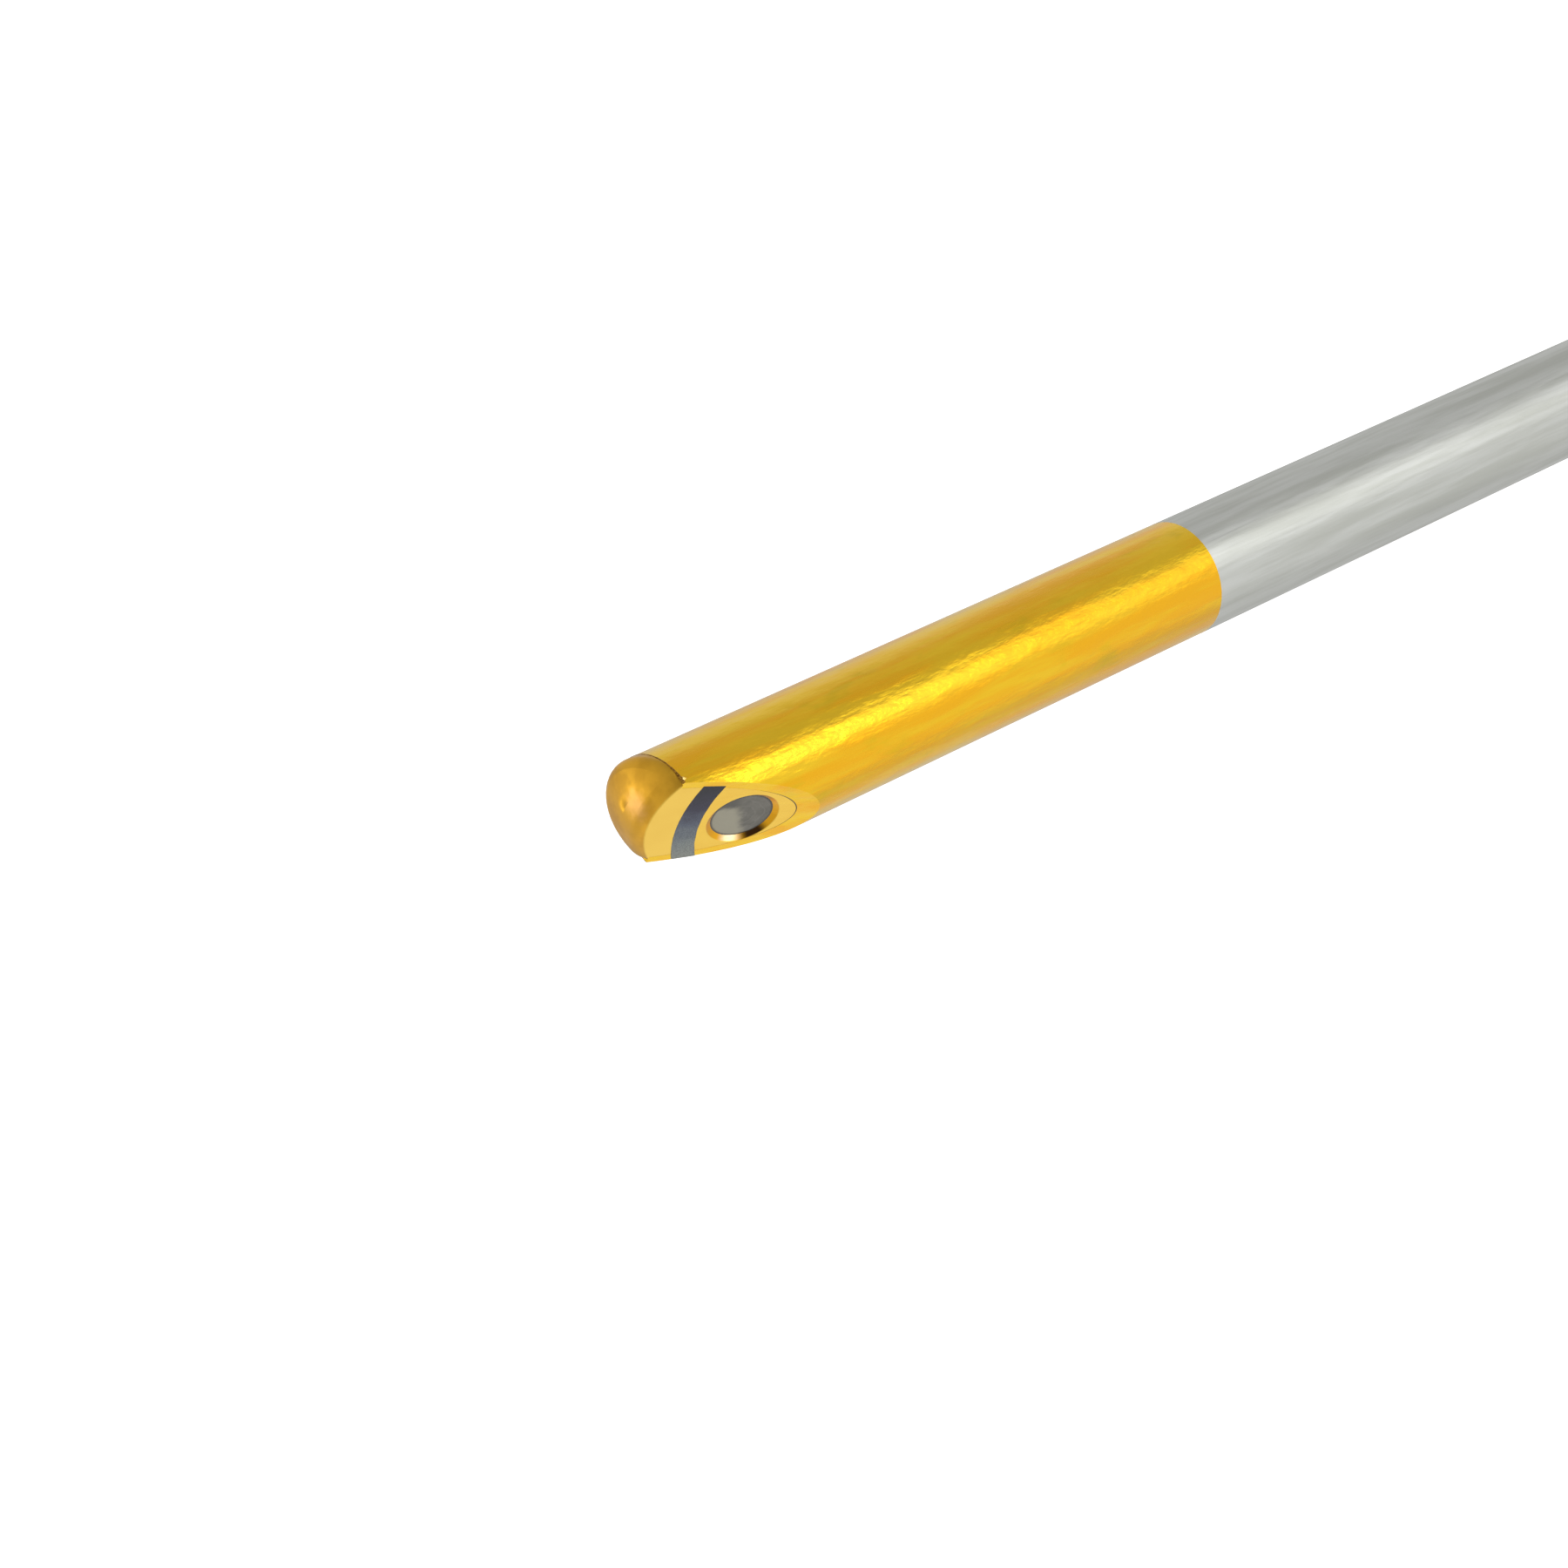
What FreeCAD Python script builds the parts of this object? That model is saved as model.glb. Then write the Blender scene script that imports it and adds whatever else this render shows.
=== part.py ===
"""Rigid angled endoscope (telescope) with a 70 degree direction of view, in millimetres.

The optical axis is the X axis. X is 0 at the rear face of the eyepiece, and the tip is at negative X.
The light post stands along +Y, and the inclined face at the tip looks the other way, along -Y.
"""

import FreeCAD
import Part
import math
import os

V = FreeCAD.Vector

# Driving dimensions
SHAFT_R = 2.0  # 4 mm insertion shaft
WORKING_LENGTH = 175.0  # from the ferrule's nose to the tip
BODY_LENGTH = 66.0  # from the ferrule's nose to the eyepiece's rear face
VIEW_ANGLE = math.radians(70)  # between the shaft's axis and the line of sight
EYEPIECE_R = 15.875
PITCH = 0.75  # screw pitch of both light-guide adapters
TURNS = 4  # turns that free an adapter

# Places along the optical axis
ROOT_X = -BODY_LENGTH
TIP_X = ROOT_X - WORKING_LENGTH
FACE_X = TIP_X + 0.06  # where the inclined face crosses the axis

# Gold-plated tip
CORE_R = 1.73  # of the nose's shank and the window block, cemented into the sleeve
CEMENT = 0.005  # thickness of the cement round them
SLEEVE_BORE_R = CORE_R + CEMENT
SLEEVE_END_X = FACE_X + 23.7
HEAD_END_X = FACE_X + 0.68  # joint between the domed nose and the sleeve
CROWN_R = 4.1
CROWN_OFF = 0.79  # the dome's centre lies this far behind the axis
NOSE_EDGE_R = 0.34
NOSE_BROW_R = 0.7  # rounding between the dome and the inclined face
FACE_ALLOWANCE = 0.05  # ground off the face after the rounding, which leaves a crisp edge
BLOCK_END_X = FACE_X + 6.4
WINDOW_U = -3.32  # the window's centre along the face, measured from the axis
WINDOW_W = -0.10  # and across the face
WINDOW_R = 1.0
WINDOW_DEPTH = 0.12
WINDOW_BEVEL = 0.17  # width of the bevel round the window, on the face
WINDOW_THICK = 0.42
NEGATIVE_THICK = 0.42
NEGATIVE_R = 0.9
PRISM_DEPTH = WINDOW_DEPTH + WINDOW_THICK + NEGATIVE_THICK + 0.04
PRISM_HALF_WIDTH = 0.8
PRISM_ENTRY_HALF = 0.85  # half the length of its entry face
PRISM_SHOULDER = 0.7  # from the entry face to the straight part, along X
PRISM_TOP_Y = 0.62
PRISM_FLOOR = 0.8  # depth of the floor below the train's axis
PRISM_CLEARANCE = 0.03  # round the prism, in its pocket
STRIPE_CENTRE_U = -6.70
STRIPE_R = (4.79, 5.53)  # inner and outer edge of the curved band of fibres
STRIPE_SWEEP = 26  # degrees to each side of the middle
STRIPE_DEPTH = 4.7
STRIPE_SLOT_DEPTH = 5.7  # cut right through the core
STRIPE_ABOVE = 0.3  # the band is cut from a block that stands this far above the face
STRIPE_NOTCH = 0.2  # depth of the notch that carries the band out through the sleeve's edge
STRIPE_EXIT = 105.8  # degrees from +Y to where the band reaches the sleeve's edge
STRIPE_REACH = {-1: 2.003, 1: 1.79}  # how far the band goes out at -Z and at +Z
CHANNEL_Y = 1.02  # floor of the fibre channel on the back of the window block
CHANNEL_START_X = FACE_X + 2.15
CHANNEL_HEIGHT = 3
CHANNEL_WIDTH = 6

# Shaft and optical train
TUBE_BORE_R = 1.70
SPIGOT_R = 1.84  # where the tube is thinned to enter the gold sleeve and the ferrule
SPIGOT_LENGTH = 3.0
TRAIN_Y = -0.33  # the optical train lies off the shaft's axis, beside the fibres
TRAIN_TUBE_R = 1.35
TRAIN_BORE_R = 1.23
TRAIN_START_X = BLOCK_END_X
TRAIN_END_X = -41.0
LENS_R = 1.21
OBJECTIVE_GAP = 0.3  # from the window block to the objective
OBJECTIVE_SEAM = 1.3  # thickness of the front element
OBJECTIVE_LENGTH = 2.2
ROD_COUNT = 7
ROD_LENGTH = 24.6
ROD_BULGE = 0.12
SPACER_LENGTH = 2.0
FIRST_SPACER = 1.0
LAST_SPACER = 0.6
SPACER_WALL = 0.16
SPACER_GAP = 0.03  # the spacers bear on the lenses' chamfers, just clear of the curved faces
SPRING_TURNS = 4
SPRING_WIRE_R = 0.2
SPRING_R = 0.98
STOP_LENGTH = 1.2
STOP_WALL = 0.3
NECK_LENGTH = 0.5  # bare neck of the tube in front of the ferrule
RUN_FLOOR_Y = 0.55  # floor of the fibres' run beside the train

# Body
HUB_R = 6.2
HUB_BORE_R = 4.7
HUB_THROAT_R = 3.4  # where the ferrule enters
HUB_THROAT_LENGTH = 3.0
HUB_FRONT_X = -58.0
TUBE_END_X = HUB_FRONT_X + 4
HUB_BACK_X = -44.0
SPIGOT_END_X = HUB_BACK_X + 3.2
HUB_SPIGOT_R = 5.6
SHELL_R = 7.6
SHELL_BORE_R = 6.2
SHELL_BACK_X = -17.0
SEAL_GROOVE = 0.5  # depth of the two seal grooves in the body
SEAL_WIDTH = 0.7
HUB_SEAL_X = HUB_BACK_X + 1.2
OCULAR_SEAL_X = -26.0
VIEW_RING_X = (-23.0, -20.8)  # coloured ring let into the shell
VIEW_RING_DEPTH = 0.5
RING_R = 9.0
RING_SEAT_R = 6.9
RING_CHAMFER = 0.3
RING_GROOVES = 60
SCREW_R = 0.8
SCREW_COUNT = 3
CUP_FRONT_X = -14.5
OCULAR_BORE_R = 5.1
OCULAR_R = 6.0
EYE_WINDOW_X = (-6.6, -5.4)
EYE_WINDOW_R = 5.7
POST_X = -51.0
POST_FOOT_Y = 5.0
POST_STEM_R = 3.0
POST_WAIST_R = 3.5
POST_FLANGE_R = 4.4
POST_SHOULDER_Y = 12.2
POST_THREAD_END = 17.0
BOSS_R = 4.8
BOSS_TOP_Y = 7.4
POST_BORE_R = 1.75
THREAD_R = 3.4
THREAD_RELIEF = 0.45  # depth of the plain neck before each thread
OUTER_THREAD_R = 4.2
OUTER_THREAD_END = 20.4
PILOT_R = 2.8
POST_END_Y = 21.0
BUNDLE_R = 1.0
BUNDLE_Y = 1.3  # where the round bundle leaves the shaft
BUNDLE_BEND_R = 2.7
INNER_ADAPTER_R = 5.1
INNER_ADAPTER_GROOVES = 40
OUTER_ADAPTER_R = 5.7
OUTER_ADAPTER_GROOVES = 44
PLUG_R = 4.9  # of the end that enters the light cable's plug
RUN = 0.05  # running clearance between pieces that turn
KNURL_DEPTH = 0.22
FAR = 30  # further than any part of the tip

X_AXIS = V(1, 0, 0)
Y_AXIS = V(0, 1, 0)
ORIGIN = V(0, 0, 0)
POST_BASE = V(POST_X, 0, 0)


def ring(points, base=ORIGIN, along=X_AXIS):
    """Solid of revolution from (place along the axis, radius) points, about base + t * along."""
    flat = [V(place, radius, 0) for place, radius in points]
    face = Part.Face(Part.makePolygon(flat + [flat[0]]))
    solid = face.revolve(ORIGIN, X_AXIS, 360)
    solid.Placement = FreeCAD.Placement(base, FreeCAD.Rotation(X_AXIS, along))
    return solid


def tube(start, end, outer, inner, base=ORIGIN, along=X_AXIS):
    return ring([(start, inner), (end, inner), (end, outer), (start, outer)], base, along)


def rod(start, end, radius, base=ORIGIN, along=X_AXIS):
    return Part.makeCylinder(radius, end - start, base + along * start, along)


def prism(points, half_width):
    """Straight block from points in the XY plane, half_width each side of it."""
    flat = [V(x, y, -half_width) for x, y in points]
    face = Part.Face(Part.makePolygon(flat + [flat[0]]))
    return face.extrude(V(0, 0, 2 * half_width))


def knurl(solid, start, end, radius, count, base=ORIGIN, along=X_AXIS):
    """Straight knurl: V grooves cut round a cylinder."""
    side = 1.6 * KNURL_DEPTH
    cutters = []
    for i in range(count):
        turn = 360.0 * i / count
        bar = Part.makeBox(end - start, side, side)
        bar.translate(V(start, -side / 2, -side / 2))
        bar.rotate(ORIGIN, X_AXIS, 45)
        bar.translate(V(0, radius + KNURL_DEPTH / 4, 0))
        bar.rotate(ORIGIN, X_AXIS, turn)
        bar.Placement = FreeCAD.Placement(base, FreeCAD.Rotation(X_AXIS, along)).multiply(bar.Placement)
        cutters.append(bar)
    return solid.cut(Part.makeCompound(cutters))


def torus(place, radius, section, base=ORIGIN, along=X_AXIS):
    return Part.makeTorus(radius, section, base + along * place, along)


# Frame of the inclined face: outward normal, and the direction along the face towards the tip
FACE_NORMAL = V(-math.cos(VIEW_ANGLE), -math.sin(VIEW_ANGLE), 0)
FACE_ALONG = V(-math.sin(VIEW_ANGLE), math.cos(VIEW_ANGLE), 0)
FACE_POINT = V(FACE_X, 0, 0)
WINDOW_POINT = FACE_POINT + FACE_ALONG * WINDOW_U + V(0, 0, WINDOW_W)


def above_face():
    """The half space outside the inclined face, as a large block."""
    corners = [
        FACE_POINT + FACE_ALONG * FAR,
        FACE_POINT - FACE_ALONG * FAR,
        FACE_POINT - FACE_ALONG * FAR + FACE_NORMAL * FAR,
        FACE_POINT + FACE_ALONG * FAR + FACE_NORMAL * FAR,
    ]
    return prism([(c.x, c.y) for c in corners], 10)


def on_face(u, w):
    """Point on the inclined face: u towards the tip and w across."""
    return FACE_POINT + FACE_ALONG * u + V(0, 0, w)


def into_face(depth_from, depth_to, radius):
    """Cylinder square to the inclined face, under the window."""
    start = WINDOW_POINT - FACE_NORMAL * depth_from
    return Part.makeCylinder(radius, depth_to - depth_from, start, FACE_NORMAL * -1)


def stripe_block(depth):
    """The curved band of fibres at the face, as a prism square to it that goes this deep."""
    half = math.radians(STRIPE_SWEEP)
    turns = (-half, 0, half)
    arcs = []
    for radius in STRIPE_R:
        arcs.append([on_face(STRIPE_CENTRE_U + radius * math.cos(t), radius * math.sin(t)) for t in turns])
    inner, outer = arcs
    edges = [
        Part.Arc(*inner).toShape(),
        Part.makeLine(inner[2], outer[2]),
        Part.Arc(*outer).toShape(),
        Part.makeLine(outer[0], inner[0]),
    ]
    face = Part.Face(Part.Wire(Part.__sortEdges__(edges)))
    face.translate(FACE_NORMAL * STRIPE_ABOVE)
    return face.extrude(FACE_NORMAL * -(STRIPE_ABOVE + depth))


def fibres_at_tip(radius):
    """Fibres inside the sleeve: the band behind the face, and the channel along the block's back."""
    bore = rod(FACE_X - 3, BLOCK_END_X, radius)
    band = stripe_block(STRIPE_DEPTH).fuse(channel_from(CHANNEL_START_X))
    inside = band.removeSplitter().common(bore)
    return inside.fuse(stripe_end()).removeSplitter().cut(above_face())


def channel_from(start):
    """Block that fills the fibre channel behind the window block's back, from this X on."""
    corner = V(start, CHANNEL_Y, -CHANNEL_WIDTH / 2)
    return Part.makeBox(BLOCK_END_X - start, CHANNEL_HEIGHT, CHANNEL_WIDTH, corner)


def stripe_end():
    """The band's shallow outer parts, which reach out through the sleeve's edge, ground flat."""
    end = stripe_block(STRIPE_NOTCH)
    for side, reach in STRIPE_REACH.items():
        inner_side = Part.makeBox(FAR, FAR, FAR, V(TIP_X - 5, reach - FAR, -FAR / 2))
        inner_side.rotate(ORIGIN, X_AXIS, side * STRIPE_EXIT)
        end = end.common(inner_side)
    return end


def domed_end():
    """Front of the tip: a shallow dome with rounded edges, cut to the inclined face."""
    cylinder = rod(TIP_X - 1, BLOCK_END_X, SHAFT_R)
    cylinder.rotate(ORIGIN, X_AXIS, 90)
    dome = Part.makeSphere(CROWN_R)
    centre = V(TIP_X + CROWN_R, CROWN_OFF, 0)
    dome.Placement = FreeCAD.Placement(centre, FreeCAD.Rotation(V(0, 0, 1), X_AXIS))
    behind = Part.makeBox(8, 12, 12, centre - V(0, 6 + CROWN_OFF, 6))
    outside = above_face()
    outside.translate(FACE_NORMAL * FACE_ALLOWANCE)
    head = cylinder.common(dome.fuse(behind)).cut(outside)
    brow = [e for e in wide_edges(head) if e.BoundBox.YMax < 0.5]
    head = head.makeFillet(NOSE_BROW_R, brow)
    rim = [e for e in wide_edges(head) if e.BoundBox.YMax > 0.9 * SHAFT_R]
    return head.makeFillet(NOSE_EDGE_R, rim).cut(above_face())


def wide_edges(head):
    """Edges that cross the front of the tip from side to side."""
    front = [e for e in head.Edges if e.BoundBox.XMax < FACE_X + 1.2]
    return [e for e in front if e.BoundBox.ZLength > 1.5 * SHAFT_R]


def tip_core():
    """What fills the sleeve's end, with the slot for the band of fibres."""
    envelope = rod(TIP_X - 1, HEAD_END_X, SHAFT_R + 1).fuse(rod(HEAD_END_X - 0.2, BLOCK_END_X, CORE_R))
    return domed_end().common(envelope).cut(stripe_block(STRIPE_SLOT_DEPTH))


def tip_nose():
    return min(tip_core().Solids, key=lambda piece: piece.CenterOfMass.x)


def window_block():
    """Carries the window, the first lens and the prism."""
    block = max(tip_core().Solids, key=lambda piece: piece.CenterOfMass.x)
    seat = into_face(-1, PRISM_DEPTH + 0.02, WINDOW_R)
    bevel = Part.makeCone(
        WINDOW_R + 2 * WINDOW_BEVEL,
        WINDOW_R,
        2 * WINDOW_DEPTH,
        WINDOW_POINT + FACE_NORMAL * WINDOW_DEPTH,
        FACE_NORMAL * -1,
    )
    pocket = prism(prism_outline(PRISM_CLEARANCE), PRISM_HALF_WIDTH + PRISM_CLEARANCE)
    for cutter in (seat, bevel, channel_from(FACE_X), pocket):
        block = block.cut(cutter)
    return block


def prism_outline(grow):
    """Deflecting prism in the plane of symmetry, grown by a clearance."""
    entry = WINDOW_POINT - FACE_NORMAL * PRISM_DEPTH
    far = entry + FACE_ALONG * (PRISM_ENTRY_HALF + grow)
    near = entry - FACE_ALONG * (PRISM_ENTRY_HALF + grow)
    floor_y = TRAIN_Y - PRISM_FLOOR - grow
    top_y = PRISM_TOP_Y + grow
    return [
        (far.x, far.y),
        (near.x, near.y),
        (near.x + PRISM_SHOULDER - 3 * grow, floor_y),
        (BLOCK_END_X, floor_y),
        (BLOCK_END_X, top_y),
        (far.x + PRISM_SHOULDER, top_y),
    ]


def tip_sleeve():
    wall = ring(
        [
            (HEAD_END_X, SLEEVE_BORE_R),
            (SLEEVE_END_X - SPIGOT_LENGTH, SLEEVE_BORE_R),
            (SLEEVE_END_X - SPIGOT_LENGTH, SPIGOT_R),
            (SLEEVE_END_X, SPIGOT_R),
            (SLEEVE_END_X, SHAFT_R),
            (HEAD_END_X, SHAFT_R),
        ]
    )
    return wall.cut(above_face()).cut(stripe_end())


def shaft_tube():
    """Plain tube, thinned where it enters the gold sleeve and the ferrule."""
    return ring(
        [
            (SLEEVE_END_X - SPIGOT_LENGTH, TUBE_BORE_R),
            (TUBE_END_X, TUBE_BORE_R),
            (TUBE_END_X, SPIGOT_R),
            (ROOT_X - NECK_LENGTH, SPIGOT_R),
            (ROOT_X - NECK_LENGTH, SHAFT_R),
            (SLEEVE_END_X, SHAFT_R),
            (SLEEVE_END_X, SPIGOT_R),
            (SLEEVE_END_X - SPIGOT_LENGTH, SPIGOT_R),
        ]
    )


def lens_end(place, bulge, towards, radius):
    """Edge from a lens's rim to the axis. A positive bulge stands out of the end."""
    rim = V(place, radius, 0)
    pole = V(place + towards * bulge, 0, 0)
    if bulge == 0:
        return Part.makeLine(rim, pole)
    curve_r = (radius**2 + bulge**2) / (2 * bulge)
    centre_x = place + towards * (bulge - curve_r)
    half_turn = math.asin(radius / curve_r) / 2
    middle = V(centre_x + towards * curve_r * math.cos(half_turn), curve_r * math.sin(half_turn), 0)
    return Part.Arc(rim, middle, pole).toShape()


def lens(start, end, radius, bulge_front, bulge_back, base):
    """Round lens with spherical ends."""
    front = lens_end(start, bulge_front, -1, radius)
    back = lens_end(end, bulge_back, 1, radius)
    side = Part.makeLine(V(start, radius, 0), V(end, radius, 0))
    axis = Part.makeLine(V(start - bulge_front, 0, 0), V(end + bulge_back, 0, 0))
    face = Part.Face(Part.Wire(Part.__sortEdges__([front, side, back, axis])))
    solid = face.revolve(ORIGIN, X_AXIS, 360)
    solid.translate(base)
    return solid


def optical_train():
    """Objective, rod lenses, spacers and preload spring inside the train tube."""
    base = V(0, TRAIN_Y, 0)
    front = TRAIN_START_X + OBJECTIVE_GAP
    seam = front + OBJECTIVE_SEAM
    objective = [
        lens(front, seam, LENS_R, 0, -0.15, base),
        lens(seam, front + OBJECTIVE_LENGTH, LENS_R, 0.15, 0.1, base),
    ]
    rods = []
    spacers = []
    gap_start = front + OBJECTIVE_LENGTH
    place = gap_start + FIRST_SPACER
    for _ in range(ROD_COUNT):
        spacers.append(spacer(gap_start, place, base))
        rods.append(lens(place, place + ROD_LENGTH, LENS_R, ROD_BULGE, ROD_BULGE, base))
        gap_start = place + ROD_LENGTH
        place = gap_start + SPACER_LENGTH
    spring_start = gap_start + LAST_SPACER
    spacers.append(spacer(gap_start, spring_start, base))
    spring_end = TRAIN_END_X - STOP_LENGTH
    stop = tube(spring_end, TRAIN_END_X, TRAIN_BORE_R, TRAIN_BORE_R - STOP_WALL, base)
    return {
        "objective_doublet": objective,
        "relay_rods": rods,
        "rod_spacers": spacers,
        "preload_spring": [preload_spring(spring_start, spring_end, base)],
        "spring_stop_ring": [stop],
    }


def spacer(start, end, base):
    return tube(start + SPACER_GAP, end - SPACER_GAP, TRAIN_BORE_R, TRAIN_BORE_R - SPACER_WALL, base)


def preload_spring(start, end, base):
    """Coil spring that presses the rod lenses against the objective."""
    length = end - start - 2 * SPRING_WIRE_R
    helix = Part.makeHelix(length / SPRING_TURNS, length, SPRING_R)
    section = Part.Wire(Part.makeCircle(SPRING_WIRE_R, V(SPRING_R, 0, 0), Y_AXIS))
    coil = Part.Wire(helix).makePipeShell([section], True, True)
    turn = FreeCAD.Rotation(V(0, 0, 1), X_AXIS)
    coil.Placement = FreeCAD.Placement(base + V(start + SPRING_WIRE_R, 0, 0), turn)
    return coil


def fibre_bundle():
    """Light fibres from the tip, beside the optical train, and round into the light post."""
    run_end = TUBE_END_X
    run = rod(BLOCK_END_X, run_end, TUBE_BORE_R - 0.01)
    run = run.common(Part.makeBox(run_end - BLOCK_END_X, 4, 8, V(BLOCK_END_X, RUN_FLOOR_Y, -4)))
    around_train = rod(BLOCK_END_X - 1, POST_X + 8, TRAIN_TUBE_R + 0.02, V(0, TRAIN_Y, 0))
    run = run.cut(around_train)
    bend_x = POST_X - BUNDLE_BEND_R
    bend_y = BUNDLE_Y + BUNDLE_BEND_R
    half = math.pi / 4
    bend_middle = V(bend_x + BUNDLE_BEND_R * math.sin(half), bend_y - BUNDLE_BEND_R * math.cos(half), 0)
    path = Part.Wire(
        [
            Part.makeLine(V(run_end, BUNDLE_Y, 0), V(bend_x, BUNDLE_Y, 0)),
            Part.Arc(V(bend_x, BUNDLE_Y, 0), bend_middle, V(POST_X, bend_y, 0)).toShape(),
            Part.makeLine(V(POST_X, bend_y, 0), V(POST_X, POST_END_Y, 0)),
        ]
    )
    section = Part.Wire(Part.makeCircle(BUNDLE_R, V(run_end, BUNDLE_Y, 0), X_AXIS))
    elbow = path.makePipeShell([section], True, False).cut(around_train)
    return [fibres_at_tip(SLEEVE_BORE_R), run, elbow]


def shaft_ferrule():
    """Flared nose that joins the shaft to the hub, with a groove in front of its flange."""
    return ring(
        [
            (ROOT_X, SPIGOT_R),
            (ROOT_X, 2.6),
            (ROOT_X + 0.5, 3.0),
            (ROOT_X + 3.2, 3.75),
            (ROOT_X + 4.0, 4.1),
            (HUB_FRONT_X - 1.6, 4.1),
            (HUB_FRONT_X - 1.6, 3.8),
            (HUB_FRONT_X - 0.9, 3.8),
            (HUB_FRONT_X - 0.9, 4.4),
            (HUB_FRONT_X, 4.4),
            (HUB_FRONT_X, HUB_THROAT_R),
            (HUB_FRONT_X + HUB_THROAT_LENGTH, HUB_THROAT_R),
            (HUB_FRONT_X + HUB_THROAT_LENGTH, SPIGOT_R),
        ]
    )


def light_hub():
    """Body's front part, with the boss for the light post and the spigot for the shell."""
    shell = ring(
        [
            (HUB_FRONT_X, HUB_THROAT_R),
            (HUB_FRONT_X, 5.4),
            (HUB_FRONT_X + 0.8, HUB_R),
            (HUB_BACK_X, HUB_R),
            (HUB_BACK_X, HUB_SPIGOT_R),
            (HUB_SEAL_X, HUB_SPIGOT_R),
            (HUB_SEAL_X, HUB_SPIGOT_R - SEAL_GROOVE),
            (HUB_SEAL_X + SEAL_WIDTH, HUB_SPIGOT_R - SEAL_GROOVE),
            (HUB_SEAL_X + SEAL_WIDTH, HUB_SPIGOT_R),
            (SPIGOT_END_X, HUB_SPIGOT_R),
            (SPIGOT_END_X, HUB_BORE_R),
            (HUB_FRONT_X + HUB_THROAT_LENGTH, HUB_BORE_R),
            (HUB_FRONT_X + HUB_THROAT_LENGTH, HUB_THROAT_R),
        ]
    )
    boss = rod(POST_FOOT_Y - 0.1, BOSS_TOP_Y, BOSS_R, POST_BASE, Y_AXIS)
    boss = boss.cut(rod(HUB_FRONT_X, HUB_BACK_X, HUB_BORE_R + 0.2))
    stem_hole = rod(POST_FOOT_Y - 3, BOSS_TOP_Y + 1, POST_STEM_R, POST_BASE, Y_AXIS)
    return shell.fuse(boss).removeSplitter().cut(stem_hole)


def light_post():
    """Turned post: stem, waist, flange, thread for the inner adapter, and plain end."""
    thread_start = POST_THREAD_END - TURNS * PITCH + 0.5
    return ring(
        [
            (POST_FOOT_Y, POST_BORE_R),
            (POST_FOOT_Y, POST_STEM_R),
            (BOSS_TOP_Y, POST_STEM_R),
            (BOSS_TOP_Y, 4.5),
            (BOSS_TOP_Y + 0.8, 4.5),
            (POST_SHOULDER_Y - 2.0, POST_WAIST_R),
            (POST_SHOULDER_Y - 1.2, POST_WAIST_R),
            (POST_SHOULDER_Y - 1.2, POST_FLANGE_R),
            (POST_SHOULDER_Y, POST_FLANGE_R),
            (POST_SHOULDER_Y, THREAD_R - THREAD_RELIEF),
            (thread_start - 0.3, THREAD_R - THREAD_RELIEF),
            (thread_start, THREAD_R),
            (POST_THREAD_END, THREAD_R),
            (POST_THREAD_END, PILOT_R),
            (POST_END_Y - 0.3, PILOT_R),
            (POST_END_Y, PILOT_R - 0.3),
            (POST_END_Y, POST_BORE_R),
        ],
        POST_BASE,
        Y_AXIS,
    )


def inner_adapter():
    """Screws onto the light post, and carries the outer adapter's thread."""
    start = POST_SHOULDER_Y + RUN
    thread_start = OUTER_THREAD_END - TURNS * PITCH + 0.6
    body = ring(
        [
            (start, THREAD_R + RUN),
            (start, 4.8),
            (start + 0.3, INNER_ADAPTER_R),
            (15.5, INNER_ADAPTER_R),
            (15.8, 4.8),
            (15.8, OUTER_THREAD_R - 0.4),
            (thread_start - 0.4, OUTER_THREAD_R - 0.4),
            (thread_start, OUTER_THREAD_R),
            (OUTER_THREAD_END, OUTER_THREAD_R),
            (OUTER_THREAD_END, 3.55),
            (22.0, 3.55),
            (22.3, 3.25),
            (23.1, 3.25),
            (23.4, 3.55),
            (24.6, 3.55),
            (24.9, 3.25),
            (24.9, 2.0),
            (21.3, 2.0),
            (21.3, PILOT_R + RUN),
            (18.9, PILOT_R + RUN),
            (18.9, 3.45),
            (18.1, 3.45),
            (18.1, PILOT_R + RUN),
            (17.1, PILOT_R + RUN),
            (17.1, THREAD_R + RUN),
        ],
        POST_BASE,
        Y_AXIS,
    )
    return knurl(body, start - 1, 15.7, INNER_ADAPTER_R, INNER_ADAPTER_GROOVES, POST_BASE, Y_AXIS)


def outer_adapter():
    """Screws onto the inner adapter. The light cable's plug goes over its end."""
    body = ring(
        [
            (15.9, OUTER_THREAD_R + RUN),
            (15.9, 5.4),
            (16.2, OUTER_ADAPTER_R),
            (19.0, OUTER_ADAPTER_R),
            (19.3, 5.4),
            (19.3, PLUG_R),
            (23.0, PLUG_R),
            (23.3, 4.5),
            (24.5, 4.5),
            (24.8, PLUG_R),
            (28.0, PLUG_R),
            (28.4, 4.5),
            (28.4, 2.6),
            (25.2, 2.6),
            (25.2, 3.65),
            (22.0, 3.65),
            (22.0, 4.25),
            (21.2, 4.25),
            (21.2, 3.65),
            (20.6, 3.65),
            (20.6, OUTER_THREAD_R + RUN),
        ],
        POST_BASE,
        Y_AXIS,
    )
    return knurl(body, 15.0, 19.2, OUTER_ADAPTER_R, OUTER_ADAPTER_GROOVES, POST_BASE, Y_AXIS)


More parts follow.
